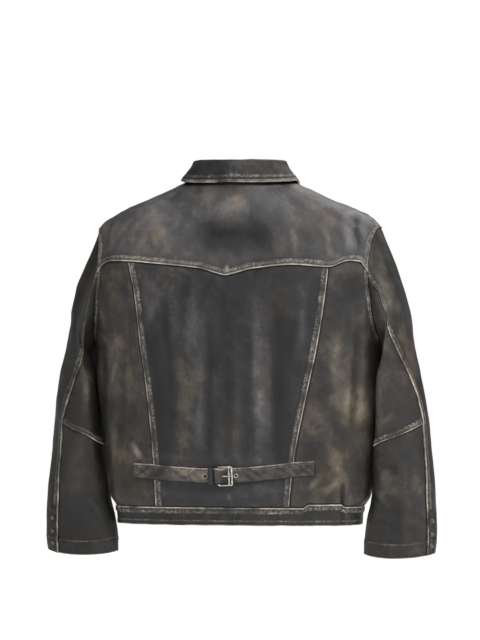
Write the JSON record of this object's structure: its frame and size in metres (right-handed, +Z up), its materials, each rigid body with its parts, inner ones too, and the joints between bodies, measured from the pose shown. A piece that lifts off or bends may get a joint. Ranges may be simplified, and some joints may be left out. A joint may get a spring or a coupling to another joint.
{
  "type": "worn leather jacket",
  "caption": "Waist-length worn leather jacket, filled out and fastened, with shirt collar, western back yoke, two-piece sleeves, snapped cuffs and a buckled back cinch belt.",
  "frame": {"origin": "middle of the neck opening, level with the neck seam at the centre back, where the wearer carries the jacket", "axes": "+X towards the wearer's right, +Y out of the front, +Z up; the back faces -Y"},
  "size_m": [0.7171, 0.2354, 0.7119],
  "materials": {
    "leather": "black-brown hide, rubbed and scuffed, with pale worn seam edges",
    "metal": "aged nickel, dull with bright edges"
  },
  "bodies": {
    "root": {"back_panel_left": "leather", "back_panel_centre": "leather", "back_panel_right": "leather", "back_yoke": "leather", "front_left": "leather", "front_right": "leather", "front_placket": "leather", "waistband_back": "leather", "waistband_front_left": "leather", "waistband_front_right": "leather", "collar_stand": "leather", "collar_fall": "leather", "sleeve_top_left": "leather", "sleeve_under_upper_left": "leather", "sleeve_under_lower_left": "leather", "sleeve_top_right": "leather", "sleeve_under_upper_right": "leather", "sleeve_under_lower_right": "leather", "belt_strap_right": "leather", "belt_strap_left": "leather", "belt_eyelet": "metal", "belt_keeper": "leather", "buckle_frame": "metal", "buckle_prong": "metal", "front_snap_1": "metal", "front_snap_2": "metal", "front_snap_3": "metal", "front_snap_4": "metal", "front_snap_5": "metal", "front_snap_6": "metal", "cuff_placket_left": "leather", "cuff_snap_left_1": "metal", "cuff_snap_left_2": "metal", "cuff_snap_left_3": "metal", "cuff_placket_right": "leather", "cuff_snap_right_1": "metal", "cuff_snap_right_2": "metal", "cuff_snap_right_3": "metal"}
  },
  "joints": []
}
